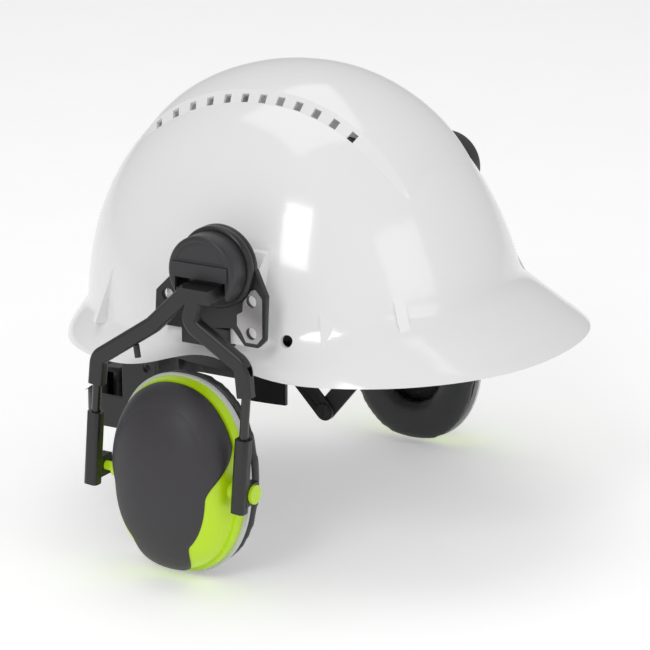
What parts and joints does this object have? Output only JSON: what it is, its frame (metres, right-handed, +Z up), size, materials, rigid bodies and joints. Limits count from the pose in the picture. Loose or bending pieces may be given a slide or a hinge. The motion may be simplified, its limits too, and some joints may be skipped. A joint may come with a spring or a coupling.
{
  "type": "forestry helmet",
  "caption": "Vented safety helmet with peak, ratchet headband and two flip-out ear cups on swivelling forks.",
  "frame": {"origin": "centre of the head opening, in the nominal plane of the side rim", "axes": "+Z up through the crown, -Y forward over the peak, +X to the wearer's left"},
  "size_m": [0.3052, 0.2807, 0.2407],
  "materials": {
    "shell_white": "moulded, high gloss",
    "black_plastic": "satin glass-filled nylon",
    "cap_plastic": "satin moulded",
    "brushed_plate": "brushed",
    "pin_steel": "turned",
    "wire_black": "black coated spring wire",
    "neon_plastic": "moulded, fluorescent yellow-green",
    "cover_soft": "soft-touch",
    "ring_grey": "moulded light grey",
    "cushion_vinyl": "soft vinyl skin",
    "foam": "open-cell foam",
    "band_plastic": "flexible moulded",
    "rivet_plastic": "moulded",
    "sweatband_fabric": "perforated padded",
    "webbing": "woven polyester webbing",
    "nape_foam": "padded foam"
  },
  "bodies": {
    "helmet": {"shell": "shell_white", "headband": "band_plastic", "sweatband": "sweatband_fabric", "crown_straps": "webbing", "suspension_keys": "band_plastic", "nape_band": "band_plastic", "nape_pad": "nape_foam", "ratchet_housing": "black_plastic", "left_temple_strap_front": "band_plastic", "left_temple_strap_rear": "band_plastic", "left_temple_rivet": "rivet_plastic", "left_adapter_plate": "black_plastic", "left_visor_plate": "brushed_plate", "left_hub_base": "black_plastic", "left_hub_axle": "pin_steel", "right_temple_strap_front": "band_plastic", "right_temple_strap_rear": "band_plastic", "right_temple_rivet": "rivet_plastic", "right_adapter_plate": "black_plastic", "right_visor_plate": "brushed_plate", "right_hub_base": "black_plastic", "right_hub_axle": "pin_steel"},
    "ratchet_wheel": {"ratchet_knob": "black_plastic", "ratchet_pinion": "black_plastic"},
    "left_rack": {"rack_tail_left": "band_plastic"},
    "right_rack": {"rack_tail_right": "band_plastic"},
    "left_hub": {"left_hub_cap": "cap_plastic", "left_flip_pin": "pin_steel", "left_hub_spring": "pin_steel"},
    "left_fork": {"left_fork_yoke": "black_plastic", "left_fork_wires": "wire_black"},
    "left_slider": {"left_wire_holders": "black_plastic", "left_pivot_pins": "neon_plastic"},
    "left_cup": {"left_cup_shell": "neon_plastic", "left_cup_cover": "cover_soft", "left_cup_ring": "ring_grey", "left_cushion_backplate": "black_plastic", "left_cushion": "cushion_vinyl", "left_foam_insert": "foam"},
    "right_hub": {"right_hub_cap": "cap_plastic", "right_flip_pin": "pin_steel", "right_hub_spring": "pin_steel"},
    "right_fork": {"right_fork_yoke": "black_plastic", "right_fork_wires": "wire_black"},
    "right_slider": {"right_wire_holders": "black_plastic", "right_pivot_pins": "neon_plastic"},
    "right_cup": {"right_cup_shell": "neon_plastic", "right_cup_cover": "cover_soft", "right_cup_ring": "ring_grey", "right_cushion_backplate": "black_plastic", "right_cushion": "cushion_vinyl", "right_foam_insert": "foam"}
  },
  "joints": [
    {"name": "left_hub_swivel", "type": "hinge", "parent": "helmet", "child": "left_hub", "pos_m": [0.12, -0.0125, 0.0605], "axis": [1, 0, 0], "range_deg": [0, 95]},
    {"name": "left_fork_flip", "type": "hinge", "parent": "left_hub", "child": "left_fork", "pos_m": [0.1245, -0.0145, 0.0625], "axis": [0, -1, 0], "range_deg": [-15, 3]},
    {"name": "left_cup_height", "type": "slide", "parent": "left_fork", "child": "left_slider", "axis": [0, -0.075, 0.9972], "range_m": [-0.022, 0.003]},
    {"name": "left_cup_tilt", "type": "hinge", "parent": "left_slider", "child": "left_cup", "pos_m": [0.131, 0.0024, -0.0483], "axis": [0, 1, 0], "range_deg": [-10, 10]},
    {"name": "right_hub_swivel", "type": "hinge", "parent": "helmet", "child": "right_hub", "pos_m": [-0.12, -0.0125, 0.0605], "axis": [1, 0, 0], "range_deg": [0, 95]},
    {"name": "right_fork_flip", "type": "hinge", "parent": "right_hub", "child": "right_fork", "pos_m": [-0.1245, -0.0145, 0.0625], "axis": [0, 1, 0], "range_deg": [-15, 3]},
    {"name": "right_cup_height", "type": "slide", "parent": "right_fork", "child": "right_slider", "axis": [0, -0.075, 0.9972], "range_m": [-0.022, 0.003]},
    {"name": "right_cup_tilt", "type": "hinge", "parent": "right_slider", "child": "right_cup", "pos_m": [-0.131, 0.0024, -0.0483], "axis": [0, -1, 0], "range_deg": [-10, 10]},
    {"name": "ratchet_turn", "type": "hinge", "parent": "helmet", "child": "ratchet_wheel", "pos_m": [0, 0.11, -0.05], "axis": [0, 1, 0], "range_deg": [-40, 40]},
    {"name": "left_tail_slide", "type": "slide", "parent": "helmet", "child": "left_rack", "axis": [1, 0, 0], "range_m": [-0.0056, 0.0056]},
    {"name": "right_tail_slide", "type": "slide", "parent": "helmet", "child": "right_rack", "axis": [-1, 0, 0], "range_m": [-0.0056, 0.0056]}
  ],
  "couplings": [
    {"joint": "left_tail_slide", "follows": "ratchet_turn", "m_per_rad": 0.0075},
    {"joint": "right_tail_slide", "follows": "ratchet_turn", "m_per_rad": 0.0075}
  ]
}
